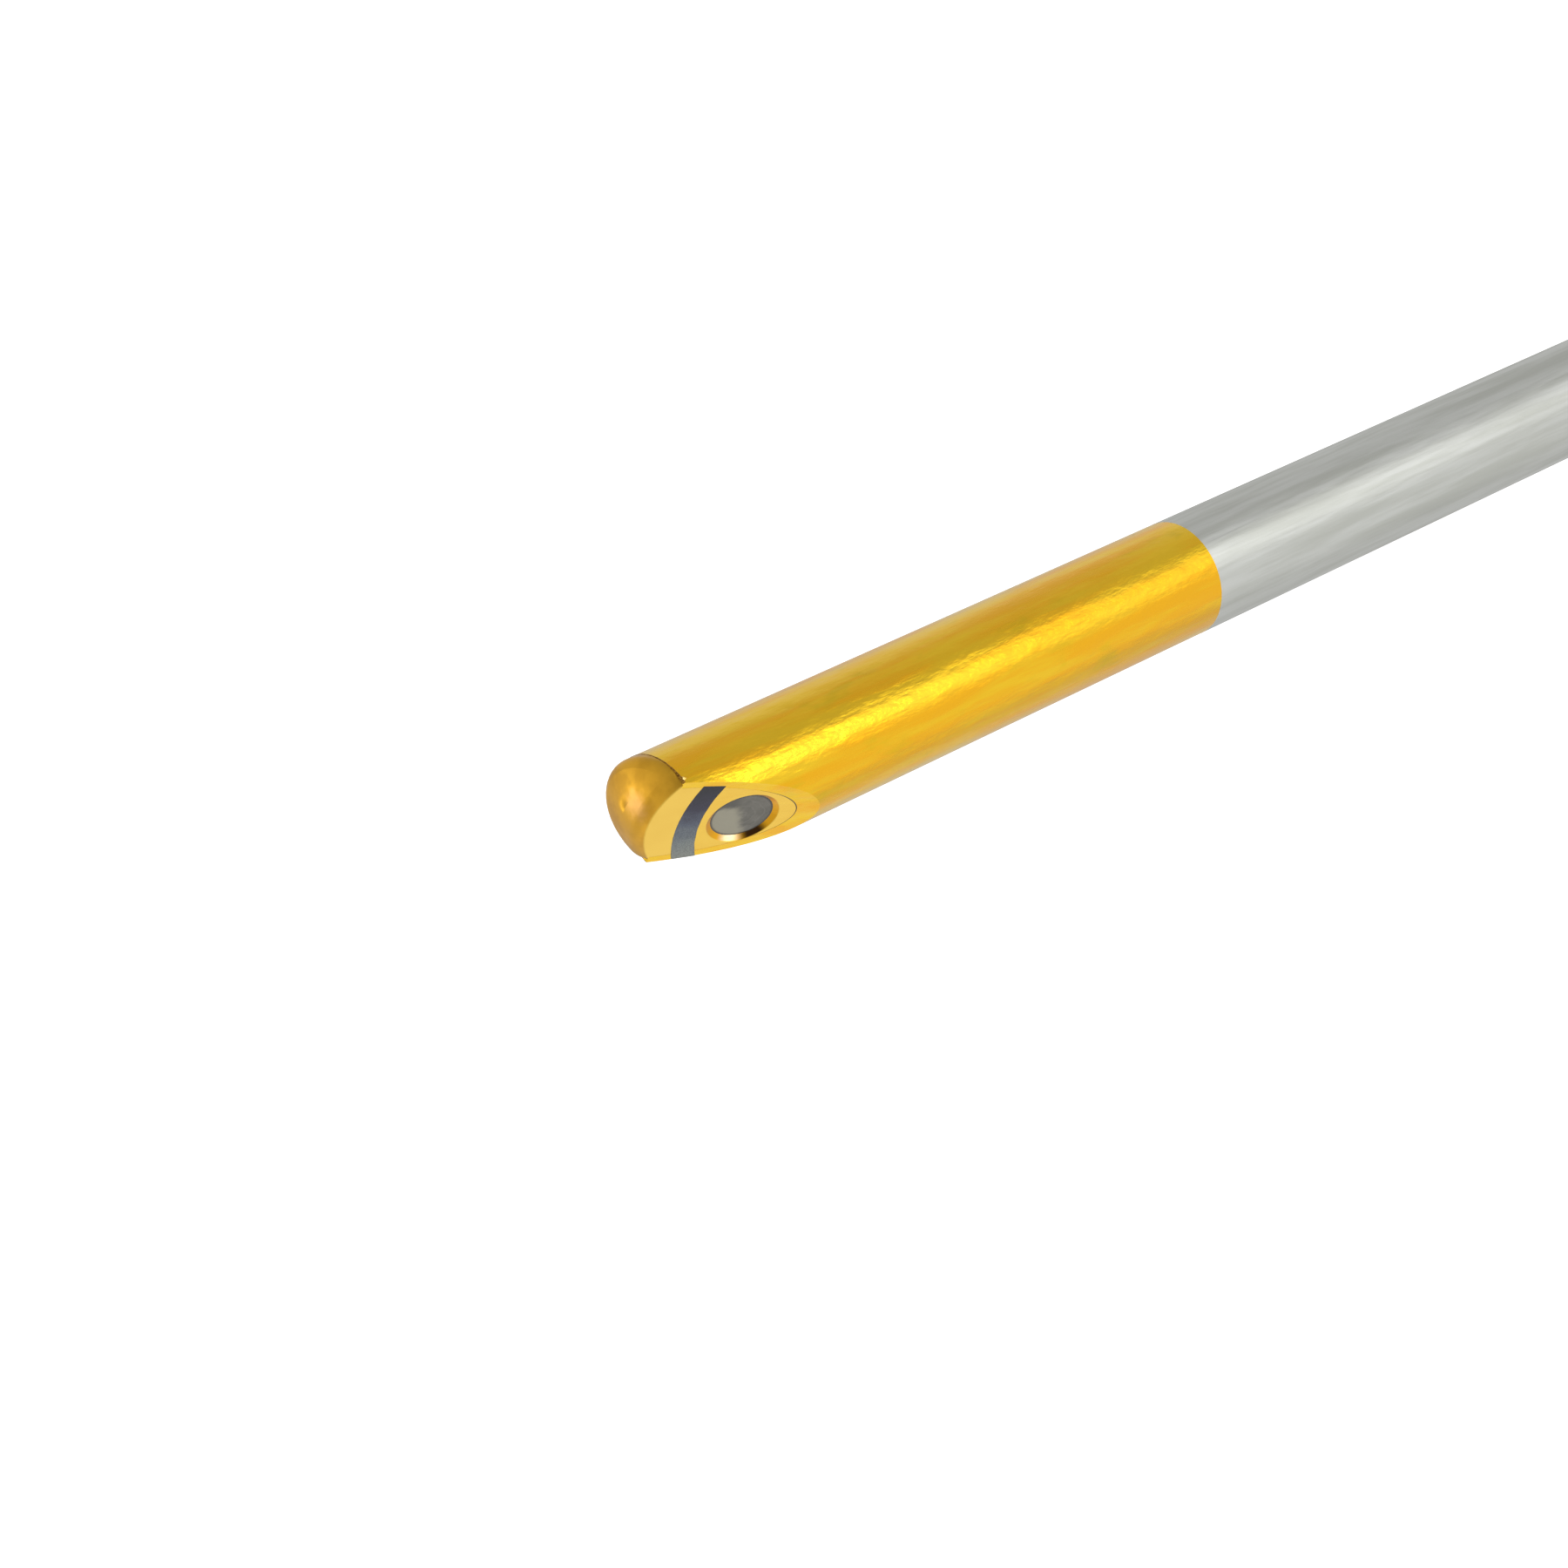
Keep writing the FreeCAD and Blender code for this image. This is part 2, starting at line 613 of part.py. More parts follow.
def body_shell():
    """Grip behind the hub, with a shallow line round it and the coloured ring's groove."""
    return ring(
        [
            (HUB_BACK_X, HUB_SPIGOT_R),
            (HUB_BACK_X, HUB_R),
            (HUB_BACK_X + 3.4, SHELL_R),
            (-39.2, SHELL_R),
            (-39.0, SHELL_R - 0.25),
            (-38.2, SHELL_R - 0.25),
            (-38.0, SHELL_R),
            (VIEW_RING_X[0], SHELL_R),
            (VIEW_RING_X[0], SHELL_R - VIEW_RING_DEPTH),
            (VIEW_RING_X[1], SHELL_R - VIEW_RING_DEPTH),
            (VIEW_RING_X[1], SHELL_R),
            (SHELL_BACK_X, SHELL_R),
            (SHELL_BACK_X, RING_SEAT_R),
            (CUP_FRONT_X, RING_SEAT_R),
            (CUP_FRONT_X, SHELL_BORE_R),
            (SPIGOT_END_X + 1.4, SHELL_BORE_R),
            (SPIGOT_END_X, HUB_SPIGOT_R),
        ]
    )


def eyepiece_ring():
    """Knurled ring that locks the eyepiece cup to the body."""
    body = ring(
        [
            (SHELL_BACK_X, RING_SEAT_R),
            (SHELL_BACK_X, RING_R - RING_CHAMFER),
            (SHELL_BACK_X + RING_CHAMFER, RING_R),
            (CUP_FRONT_X - RING_CHAMFER, RING_R),
            (CUP_FRONT_X, RING_R - RING_CHAMFER),
            (CUP_FRONT_X, RING_SEAT_R),
        ]
    )
    body = knurl(body, SHELL_BACK_X - 1, CUP_FRONT_X + 1, RING_R, RING_GROOVES)
    return body.cut(Part.makeCompound(set_screws(RING_SEAT_R - 0.4, RING_R + 1)))


def set_screws(inner, outer):
    """The screws of the knurled ring, between these distances from the axis."""
    screws = []
    middle = (SHELL_BACK_X + CUP_FRONT_X) / 2
    for i in range(SCREW_COUNT):
        turn = 2 * math.pi * (i + 0.5) / SCREW_COUNT
        out = V(0, math.cos(turn), math.sin(turn))
        screws.append(rod(inner, outer, SCREW_R, V(middle, 0, 0), out))
    return screws


def eyepiece_cup():
    """Flared cup, hollowed behind the sealed window."""
    return ring(
        [
            (CUP_FRONT_X, SHELL_BORE_R),
            (CUP_FRONT_X, 8.7),
            (-11.6, 9.0),
            (-10.6, 9.7),
            (-5.0, EYEPIECE_R - 0.5),
            (-4.5, EYEPIECE_R),
            (-0.4, EYEPIECE_R),
            (0.0, EYEPIECE_R - 0.4),
            (0.0, 10.2),
            (-0.5, 9.4),
            (-4.8, 6.6),
            (-5.0, SHELL_BORE_R),
            (-5.0, EYE_WINDOW_R),
            (EYE_WINDOW_X[1], EYE_WINDOW_R),
            (EYE_WINDOW_X[1], SHELL_BORE_R),
        ]
    )


def eyepiece_parts():
    """Ocular lens group in its tube, and the sealed window behind it."""
    ocular_tube = ring(
        [
            (-36.0, 3.4),
            (-36.0, OCULAR_R),
            (OCULAR_SEAL_X - 1, OCULAR_R),
            (OCULAR_SEAL_X - 1, SHELL_BORE_R),
            (OCULAR_SEAL_X, SHELL_BORE_R),
            (OCULAR_SEAL_X, SHELL_BORE_R - SEAL_GROOVE),
            (OCULAR_SEAL_X + SEAL_WIDTH, SHELL_BORE_R - SEAL_GROOVE),
            (OCULAR_SEAL_X + SEAL_WIDTH, SHELL_BORE_R),
            (OCULAR_SEAL_X + SEAL_WIDTH + 1, SHELL_BORE_R),
            (OCULAR_SEAL_X + SEAL_WIDTH + 1, OCULAR_R),
            (-12.5, OCULAR_R),
            (-12.5, SHELL_BORE_R),
            (-11.0, SHELL_BORE_R),
            (-11.0, OCULAR_R),
            (-7.5, OCULAR_R),
            (-7.5, OCULAR_BORE_R),
            (-33.0, OCULAR_BORE_R),
            (-33.0, 3.4),
        ]
    )
    lens_r = OCULAR_BORE_R - 0.05
    return {
        "ocular_tube": [ocular_tube],
        "field_stop": [tube(-33.0, -32.4, OCULAR_BORE_R, 1.9)],
        "ocular_lenses": [
            lens(-16.0, -12.6, lens_r, 0.9, -0.6, ORIGIN),
            lens(-12.6, -11.2, lens_r, 0.6, 0.4, ORIGIN),
            lens(-10.2, -8.5, lens_r, 0.2, 0.2, ORIGIN),
        ],
        "lens_spacers": [tube(-32.4, -16.2, OCULAR_BORE_R, 4.7), tube(-11.1, -10.3, OCULAR_BORE_R, 4.6)],
        "ocular_lock_ring": [tube(-8.4, -7.7, OCULAR_BORE_R, 4.4)],
        "eyepiece_window": [rod(*EYE_WINDOW_X, EYE_WINDOW_R)],
        "window_ring": [tube(-7.4, EYE_WINDOW_X[1], SHELL_BORE_R, EYE_WINDOW_R)],
    }


def train_bush():
    """Carries the train tube's rear end, off centre, inside the hub."""
    return rod(-47.0, -43.5, HUB_BORE_R).cut(rod(-50, -40, TRAIN_TUBE_R, V(0, TRAIN_Y, 0)))


def body_seals():
    section = SEAL_GROOVE / 2
    return [
        torus(HUB_SEAL_X + SEAL_WIDTH / 2, HUB_SPIGOT_R - section, section),
        torus(OCULAR_SEAL_X + SEAL_WIDTH / 2, SHELL_BORE_R - section, section),
    ]


def make_nodes():
    train = V(0, TRAIN_Y, 0)
    window_back = WINDOW_DEPTH + WINDOW_THICK
    nodes = {
        "tip_nose": [tip_nose()],
        "tip_sleeve": [tip_sleeve()],
        "window_block": [window_block()],
        "tip_window": [into_face(WINDOW_DEPTH, window_back, WINDOW_R)],
        "negative_lens": [into_face(window_back, window_back + NEGATIVE_THICK, NEGATIVE_R)],
        "deflecting_prism": [prism(prism_outline(0), PRISM_HALF_WIDTH)],
        "light_fibres": fibre_bundle(),
        "shaft_tube": [shaft_tube()],
        "train_tube": [tube(TRAIN_START_X, TRAIN_END_X, TRAIN_TUBE_R, TRAIN_BORE_R, train)],
        "shaft_ferrule": [shaft_ferrule()],
        "light_hub": [light_hub()],
        "light_post": [light_post()],
        "fibre_ferrule": [tube(POST_FOOT_Y, POST_END_Y, POST_BORE_R, BUNDLE_R, POST_BASE, Y_AXIS)],
        "inner_adapter": [inner_adapter()],
        "inner_adapter_seal": [torus(18.5, 3.17, 0.27, POST_BASE, Y_AXIS)],
        "outer_adapter": [outer_adapter()],
        "outer_adapter_seal": [torus(21.6, 3.92, 0.28, POST_BASE, Y_AXIS)],
        "train_bush": [train_bush()],
        "body_shell": [body_shell()],
        "body_seals": body_seals(),
        "view_angle_ring": [tube(*VIEW_RING_X, SHELL_R + 0.04, SHELL_R - VIEW_RING_DEPTH)],
        "eyepiece_ring": [eyepiece_ring()],
        "eyepiece_screws": set_screws(RING_SEAT_R, RING_R - 0.4),
        "eyepiece_cup": [eyepiece_cup()],
    }
    nodes.update(optical_train())
    nodes.update(eyepiece_parts())
    return nodes


def write(nodes):
    os.makedirs("parts", exist_ok=True)
    for name, solids in nodes.items():
        flat = [s for shape in solids for s in shape.Solids]
        for s in flat:
            if not s.isValid() or s.Volume <= 0:
                print("problem in", name, s.isValid(), s.Volume)
        shape = flat[0] if len(flat) == 1 else Part.makeCompound(flat)
        shape.exportStep("parts/" + name + ".step")
        print(name, len(flat), round(sum(s.Volume for s in flat), 2))


write(make_nodes())
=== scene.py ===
"""Looks of a rigid angled endoscope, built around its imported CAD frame. Everything is in metres."""

import math

import bmesh
import bpy
from mathutils import Matrix, Vector


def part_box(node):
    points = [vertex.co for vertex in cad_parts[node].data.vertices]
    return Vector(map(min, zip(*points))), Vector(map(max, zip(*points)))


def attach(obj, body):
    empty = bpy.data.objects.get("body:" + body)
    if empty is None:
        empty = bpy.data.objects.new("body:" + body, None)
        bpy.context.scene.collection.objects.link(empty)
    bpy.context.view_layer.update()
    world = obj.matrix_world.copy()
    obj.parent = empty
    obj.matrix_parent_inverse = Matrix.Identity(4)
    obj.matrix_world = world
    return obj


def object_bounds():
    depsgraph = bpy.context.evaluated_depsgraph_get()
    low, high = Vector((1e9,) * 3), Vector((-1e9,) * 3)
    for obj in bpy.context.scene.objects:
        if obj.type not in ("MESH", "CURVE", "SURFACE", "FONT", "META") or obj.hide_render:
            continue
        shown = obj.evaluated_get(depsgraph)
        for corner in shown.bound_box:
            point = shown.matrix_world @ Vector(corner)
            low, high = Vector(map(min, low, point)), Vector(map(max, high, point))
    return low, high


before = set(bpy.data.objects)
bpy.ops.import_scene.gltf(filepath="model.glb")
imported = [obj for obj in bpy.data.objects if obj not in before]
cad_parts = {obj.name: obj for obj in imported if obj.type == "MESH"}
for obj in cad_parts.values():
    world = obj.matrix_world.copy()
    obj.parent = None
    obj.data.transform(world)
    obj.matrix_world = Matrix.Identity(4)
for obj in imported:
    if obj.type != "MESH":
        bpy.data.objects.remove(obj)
cad_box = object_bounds()

MM = 0.001

# Places read from the frame
NOSE_LOW, NOSE_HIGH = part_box("tip_nose")
SLEEVE_LOW, SLEEVE_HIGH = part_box("tip_sleeve")
SHAFT_R = SLEEVE_HIGH.z
FACE_SETBACK = 0.06 * MM  # from the foremost point of the tip
FACE_POINT = Vector((NOSE_LOW.x + FACE_SETBACK, 0, 0))  # where the inclined face crosses the axis
VIEW_ANGLE = math.radians(70)
FACE_NORMAL = Vector((-math.cos(VIEW_ANGLE), -math.sin(VIEW_ANGLE), 0))
FACE_ALONG = Vector((-math.sin(VIEW_ANGLE), math.cos(VIEW_ANGLE), 0))
SEAM_X = SLEEVE_LOW.x  # joint between the domed nose and the gold sleeve
CORE_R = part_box("window_block")[1].z
CORE_FLATTENING = 0.883  # sine squared of the view angle: turns a place on the ellipse into its normal
WINDOW_LOW, WINDOW_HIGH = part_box("tip_window")
WINDOW_R = (WINDOW_HIGH.z - WINDOW_LOW.z) / 2
WINDOW_THICK = 0.42 * MM
WINDOW_CENTRE = (WINDOW_LOW + WINDOW_HIGH) / 2 + FACE_NORMAL * WINDOW_THICK / 2
POST_X = -51 * MM
FLOOR_Z = cad_box[0].z
FLOOR_HALF = 12  # half the floor's side, so that its edge is out of sight from low angles

# The threads that CAD leaves plain: pitch, then radius and the stretch along the post that each covers
PITCH = 0.75 * MM
POST_THREAD = (3.4 * MM, 14.6 * MM, 16.9 * MM)
ADAPTER_THREAD = (4.2 * MM, 18.1 * MM, 20.3 * MM)

GOLD_GROUND = (0.92, 0.60, 0.085)

# Camera
LENS = 83.4
CAMERA_AZIMUTH = math.radians(-60.16)
CAMERA_ELEVATION = math.radians(47.21)
CAMERA_ROLL = math.radians(26.97)
CAMERA_DISTANCE = 107.88 * MM
CAMERA_AIM = FACE_POINT + Vector((3.483, -1.664, 2.029)) * MM

# Light
WORLD_LEVEL = 0.64


# ---------------------------------------------------------------- helpers


def direction(azimuth, elevation):
    """Unit vector towards an azimuth from +X and an elevation, in degrees."""
    a = math.radians(azimuth)
    e = math.radians(elevation)
    return Vector((math.cos(a) * math.cos(e), math.sin(a) * math.cos(e), math.sin(e)))


def add_object(name, data):
    made = bpy.data.objects.new(name, data)
    bpy.context.scene.collection.objects.link(made)
    return made


def mesh_from(bm, name, smooth=True):
    mesh = bpy.data.meshes.new(name)
    bm.to_mesh(mesh)
    bm.free()
    for polygon in mesh.polygons:
        polygon.use_smooth = smooth
    return add_object(name, mesh)


class Look:
    """Builds one procedural material. Texture coordinates are in millimetres in the row's frame."""

    def __init__(self, name, **settings):
        self.material = bpy.data.materials.new(name)
        self.material.use_nodes = True
        self.nodes = self.material.node_tree.nodes
        self.links = self.material.node_tree.links
        self.shader = self.nodes["Principled BSDF"]
        self.place = self.nodes.new("ShaderNodeTexCoord").outputs["Object"]
        self.set(**settings)

    def set(self, **settings):
        for key, value in settings.items():
            self.feed(self.shader.inputs[key.replace("_", " ")], value)

    def feed(self, socket, value):
        if isinstance(value, bpy.types.NodeSocket):
            self.links.new(value, socket)
        elif isinstance(value, tuple) and len(value) == 3 and socket.type == "RGBA":
            socket.default_value = (*value, 1)
        else:
            socket.default_value = value

    def stretched(self, x, y, z):
        """Coordinates in millimetres, multiplied along each axis."""
        node = self.nodes.new("ShaderNodeVectorMath")
        node.operation = "MULTIPLY"
        self.links.new(self.place, node.inputs[0])
        node.inputs[1].default_value = (x / MM, y / MM, z / MM)
        return node.outputs["Vector"]

    def axis(self, index):
        node = self.nodes.new("ShaderNodeSeparateXYZ")
        self.links.new(self.stretched(1, 1, 1), node.inputs[0])
        return node.outputs[index]

    def noise(self, vector, scale=1.0, detail=3.0, roughness=0.55, distortion=0.0):
        node = self.nodes.new("ShaderNodeTexNoise")
        self.links.new(vector, node.inputs["Vector"])
        node.inputs["Scale"].default_value = scale
        node.inputs["Detail"].default_value = detail
        node.inputs["Roughness"].default_value = roughness
        node.inputs["Distortion"].default_value = distortion
        return node.outputs["Fac"]

    def cells(self, vector, scale=1.0, output="Distance"):
        node = self.nodes.new("ShaderNodeTexVoronoi")
        self.links.new(vector, node.inputs["Vector"])
        node.inputs["Scale"].default_value = scale
        return node.outputs[output]

    def math(self, operation, a, b=0.0, c=0.0):
        node = self.nodes.new("ShaderNodeMath")
        node.operation = operation
        for socket, value in zip(node.inputs, (a, b, c)):
            self.feed(socket, value)
        return node.outputs[0]

    def spread(self, value, low, high, new_low=0.0, new_high=1.0, smooth=True):
        node = self.nodes.new("ShaderNodeMapRange")
        node.interpolation_type = "SMOOTHSTEP" if smooth else "LINEAR"
        for key, given in (("From Min", low), ("From Max", high), ("To Min", new_low), ("To Max", new_high)):
            node.inputs[key].default_value = given
        self.feed(node.inputs["Value"], value)
        return node.outputs["Result"]

    def ramp(self, value, stops):
        node = self.nodes.new("ShaderNodeValToRGB")
        elements = node.color_ramp.elements
        while len(elements) < len(stops):
            elements.new(0.5)
        for element, (at, colour) in zip(elements, stops):
            element.position = at
            element.color = (*colour, 1)
        self.feed(node.inputs[0], value)
        return node.outputs["Color"]

    def mix(self, fac, a, b):
        node = self.nodes.new("ShaderNodeMix")
        node.data_type = "RGBA"
        self.feed(node.inputs["Factor"], fac)
        self.feed(node.inputs[6], a)
        self.feed(node.inputs[7], b)
        return node.outputs[2]

    def bump(self, height, depth_mm, strength=1.0, after=None):
        node = self.nodes.new("ShaderNodeBump")
        node.inputs["Strength"].default_value = strength
        node.inputs["Distance"].default_value = depth_mm * MM
        self.links.new(height, node.inputs["Height"])
        if after is not None:
            self.links.new(after, node.inputs["Normal"])
        return node.outputs["Normal"]

    def along(self, point, towards):
        """Distance in millimetres from a point, measured along a direction."""
        shift = self.nodes.new("ShaderNodeVectorMath")
        shift.operation = "SUBTRACT"
        self.links.new(self.stretched(1, 1, 1), shift.inputs[0])
        shift.inputs[1].default_value = point / MM
        dot = self.nodes.new("ShaderNodeVectorMath")
        dot.operation = "DOT_PRODUCT"
        self.links.new(shift.outputs["Vector"], dot.inputs[0])
        dot.inputs[1].default_value = towards
        return dot.outputs["Value"]

    def distance_to(self, point):
        node = self.nodes.new("ShaderNodeVectorMath")
        node.operation = "DISTANCE"
        self.links.new(self.stretched(1, 1, 1), node.inputs[0])
        node.inputs[1].default_value = point / MM
        return node.outputs["Value"]


# ---------------------------------------------------------------- materials


def gold_sleeve():
    """Gold plate over a drawn sleeve: lengthwise draw marks and a finely hammered surface."""
    look = Look("gold_sleeve", Metallic=1.0, Coat_Weight=0.22, Coat_Roughness=0.3)
    streaks = look.noise(look.stretched(0.13, 1.3, 1.3), 1.0, 4, 0.6)
    fine = look.noise(look.stretched(0.7, 6.0, 6.0), 1.0, 3, 0.6)
    hammered = look.noise(look.stretched(1.1, 2.4, 2.4), 1.0, 3, 0.55)
    patches = look.noise(look.stretched(0.35, 0.9, 0.9), 1.3, 3, 0.6)
    lemon, amber, olive = (0.90, 0.57, 0.018), (0.90, 0.46, 0.008), (0.70, 0.48, 0.010)
    colour = look.mix(look.spread(streaks, 0.38, 0.62), lemon, amber)
    look.set(Base_Color=look.mix(look.spread(patches, 0.56, 0.74, 0.0, 0.6), colour, olive))
    look.set(Roughness=look.spread(streaks, 0.3, 0.7, 0.2, 0.3))
    normal = look.bump(streaks, 0.05, 0.5)
    normal = look.bump(fine, 0.012, 0.4, normal)
    look.set(Normal=look.bump(hammered, 0.06, 0.5, normal))
    return look.material


def gold_nose():
    """Cast and polished dome with a painted peach highlight, ground flat where it meets the inclined face."""
    look = Look("gold_nose", Metallic=1.0, Coat_Weight=0.2, Coat_Roughness=0.34)
    cloud = look.noise(look.stretched(1.0, 1.0, 1.0), 1.3, 3, 0.55)
    grain = look.noise(look.stretched(1.0, 1.0, 1.0), 9.0, 3, 0.6)
    colour = look.mix(look.spread(cloud, 0.38, 0.62), (0.88, 0.46, 0.030), (0.74, 0.38, 0.022))
    seam_mm = SEAM_X / MM
    shade = look.spread(look.axis(0), seam_mm - 0.55, seam_mm, 0.0, 0.62)
    colour = look.mix(shade, colour, (0.34, 0.19, 0.010))
    # Painted highlight: a soft peach patch of light on the dome, ragged at its edge.
    highlight_spot = FACE_POINT + Vector((0, 0.45, 0.42)) * MM
    ragged = look.math("ADD", look.distance_to(highlight_spot), cloud)
    painted_highlight = look.spread(ragged, 0.65, 1.15, 0.6, 0.0)
    colour = look.mix(painted_highlight, colour, (1.0, 0.54, 0.17))
    face_depth = look.math("MULTIPLY", look.along(FACE_POINT, FACE_NORMAL), -1.0)
    ground = look.spread(face_depth, 0.0, 0.03)
    look.set(Base_Color=look.mix(ground, GOLD_GROUND, colour))
    look.set(Roughness=look.spread(cloud, 0.3, 0.7, 0.3, 0.4))
    normal = look.bump(cloud, 0.006, 0.2)
    look.set(Normal=look.bump(grain, 0.003, 0.3, normal))
    return look.material


def gold_face():
    """Ground and polished gold of the window block, with a painted dark reflection and a painted highlight on
    the bevel.
    """
    look = Look("gold_face", Metallic=1.0)
    lapping = look.noise(look.stretched(1.4, 1.4, 9.0), 1.0, 3, 0.6)
    cloud = look.noise(look.stretched(1.0, 1.0, 1.0), 0.9, 2, 0.5)
    colour = look.mix(look.spread(cloud, 0.35, 0.65), GOLD_GROUND, (0.90, 0.57, 0.075))
    face_depth = look.math("MULTIPLY", look.along(FACE_POINT, FACE_NORMAL), -1.0)
    bevel = look.spread(face_depth, 0.003, 0.02)
    colour = look.mix(bevel, colour, (0.86, 0.42, 0.018))
    # Painted shade: a dark reflection on the lower bevel, darkest at its centre.
    dark_reflection_spot = WINDOW_CENTRE + FACE_ALONG * -0.70 * MM + Vector((0, 0, -0.90)) * MM
    stain_and_shade = look.math("MULTIPLY", look.spread(look.distance_to(dark_reflection_spot), 0.20, 0.60, 1.0, 0.0), bevel)
    colour = look.mix(stain_and_shade, colour, (0.05, 0.022, 0.006))
    # Painted highlight: a bright orange-white glint on the lower bevel.
    glint = WINDOW_CENTRE + FACE_ALONG * 0.10 * MM + Vector((0, 0, -1.10)) * MM
    glint_mask = look.math("MULTIPLY", look.spread(look.distance_to(glint), 0.12, 0.50, 0.85, 0.0), bevel)
    look.set(Base_Color=look.mix(glint_mask, colour, (1.0, 0.80, 0.50)))
    look.set(Roughness=look.spread(lapping, 0.3, 0.7, 0.26, 0.36))
    look.set(Normal=look.bump(lapping, 0.004, 0.4))
    return look.material


def fibre_glass():
    """Polished ends of bonded light fibres, with painted reflection and shade: lighter towards the bottom,
    darker towards the top, where they run deep into the tip.
    """
    look = Look("fibre_glass", Metallic=0.0, Roughness=0.25, IOR=1.5, Specular_IOR_Level=0.16)
    wander = look.noise(look.stretched(0.8, 0.8, 0.8), 1.0, 2, 0.5)
    # Painted reflection and shade: light at the bottom of the band, dark at the top.
    place = look.math("ADD", look.axis(2), look.spread(wander, 0.3, 0.7, -0.25, 0.25))
    shade = look.ramp(
        look.spread(place, -SHAFT_R / MM, SHAFT_R / MM, smooth=False),
        [
            (0.0, (0.23, 0.235, 0.20)),
            (0.26, (0.17, 0.19, 0.185)),
            (0.44, (0.085, 0.098, 0.13)),
            (0.60, (0.035, 0.033, 0.055)),
            (1.0, (0.018, 0.018, 0.016)),
        ],
    )
    ends = look.cells(look.stretched(1, 1, 1), 22.0)
    look.set(Base_Color=look.mix(look.spread(ends, 0.2, 0.8, 0.0, 0.3), shade, (0.015, 0.015, 0.02)))
    look.set(Normal=look.bump(ends, 0.002, 0.4))
    return look.material


def window_glass():
    """Flat sapphire window with the view through it painted in. One side shows the bright mount of the lens
    below as painted light, the other its dark bore as painted shade, with faint rings of painted reflection.
    """
    look = Look("window_glass", Roughness=0.12, IOR=1.6, Specular_IOR_Level=0.3)
    cloud = look.noise(look.stretched(1, 1, 1), 2.2, 3, 0.55)
    wobble = look.spread(cloud, 0.3, 0.7, -0.07, 0.07)
    up = look.along(WINDOW_CENTRE, Vector((0, 0, 1)))
    tipward = look.along(WINDOW_CENTRE, FACE_ALONG)
    slant = look.math("ADD", look.math("SUBTRACT", tipward, look.math("MULTIPLY", up, 0.34)), wobble)
    left = look.spread(slant, -0.16, 0.26)
    below = look.spread(look.math("ADD", up, look.math("MULTIPLY", wobble, 2.0)), 0.14, 0.56, 1.0, 0.0)
    # Painted light on the lens mount and painted shade in the bore beside it.
    bright = look.math("MULTIPLY", left, below)
    band = look.math("MULTIPLY", left, look.math("SUBTRACT", 1.0, below))
    shade = look.mix(look.spread(cloud, 0.35, 0.65), (0.075, 0.070, 0.055), (0.105, 0.098, 0.080))
    # Painted reflections: faint rings from the lenses inside.
    arcs = look.math("PINGPONG", look.math("ADD", look.distance_to(WINDOW_CENTRE), wobble), 0.14)
    shade = look.mix(look.spread(arcs, 0.10, 0.14, 0.0, 0.35), shade, (0.15, 0.14, 0.12))
    shade = look.mix(bright, shade, (0.23, 0.215, 0.155))
    shade = look.mix(look.math("MULTIPLY", band, 0.8), shade, (0.045, 0.042, 0.034))
    rim = look.spread(look.distance_to(WINDOW_CENTRE), 0.90 * WINDOW_R / MM, 0.99 * WINDOW_R / MM, 0.0, 0.9)
    look.set(Base_Color=look.mix(rim, shade, (0.018, 0.014, 0.010)))
    return look.material


def clear_glass(name, tint):
    look = Look(name, Roughness=0.03, IOR=1.52, Transmission_Weight=1.0)
    smudge = look.noise(look.stretched(1, 1, 1), 1.2, 3, 0.5)
    look.set(Base_Color=look.mix(smudge, tint, tuple(min(1.0, c * 1.05) for c in tint)))
    look.set(Roughness=look.spread(smudge, 0.4, 0.7, 0.02, 0.06))
    return look.material


def steel_shaft():
    """Centreless-ground stainless tube with fine lengthwise marks."""
    look = Look("steel_shaft", Metallic=1.0)
    streaks = look.noise(look.stretched(0.12, 2.0, 2.0), 1.0, 4, 0.6)
    fine = look.noise(look.stretched(0.5, 9.0, 9.0), 1.0, 3, 0.6)
    look.set(Base_Color=look.mix(look.spread(streaks, 0.35, 0.65), (0.60, 0.61, 0.58), (0.50, 0.51, 0.47)))
    look.set(Roughness=look.spread(fine, 0.3, 0.7, 0.36, 0.46))
    normal = look.bump(streaks, 0.04, 0.4)
    look.set(Normal=look.bump(fine, 0.006, 0.4, normal))
    return look.material


def turned_steel(name, colour, along, rough=0.34):
    """Matte turned steel: fine marks round the axis of turning."""
    look = Look(name, Metallic=1.0)
    scales = [2.0, 2.0, 2.0]
    scales[along] = 30.0
    marks = look.noise(look.stretched(*scales), 1.0, 3, 0.6)
    blast = look.noise(look.stretched(1, 1, 1), 14.0, 2, 0.6)
    stain_and_shade = look.noise(look.stretched(0.25, 0.25, 0.25), 1.0, 3, 0.5)
    darker = tuple(c * 0.86 for c in colour)
    look.set(Base_Color=look.mix(look.spread(stain_and_shade, 0.35, 0.65), colour, darker))
    look.set(Roughness=look.spread(marks, 0.3, 0.7, rough - 0.05, rough + 0.06))
    normal = look.bump(marks, 0.006, 0.3)
    look.set(Normal=look.bump(blast, 0.006, 0.25, normal))
    return look.material


def black_polymer():
    look = Look("black_polymer", Roughness=0.48, IOR=1.5)
    grain = look.noise(look.stretched(1, 1, 1), 9.0, 4, 0.65)
    wear = look.noise(look.stretched(0.35, 0.35, 0.35), 1.0, 4, 0.6)
    look.set(Base_Color=look.mix(look.spread(wear, 0.4, 0.7), (0.012, 0.012, 0.013), (0.022, 0.022, 0.023)))
    look.set(Roughness=look.spread(wear, 0.35, 0.7, 0.38, 0.55))
    look.set(Normal=look.bump(grain, 0.02, 0.5))
    return look.material


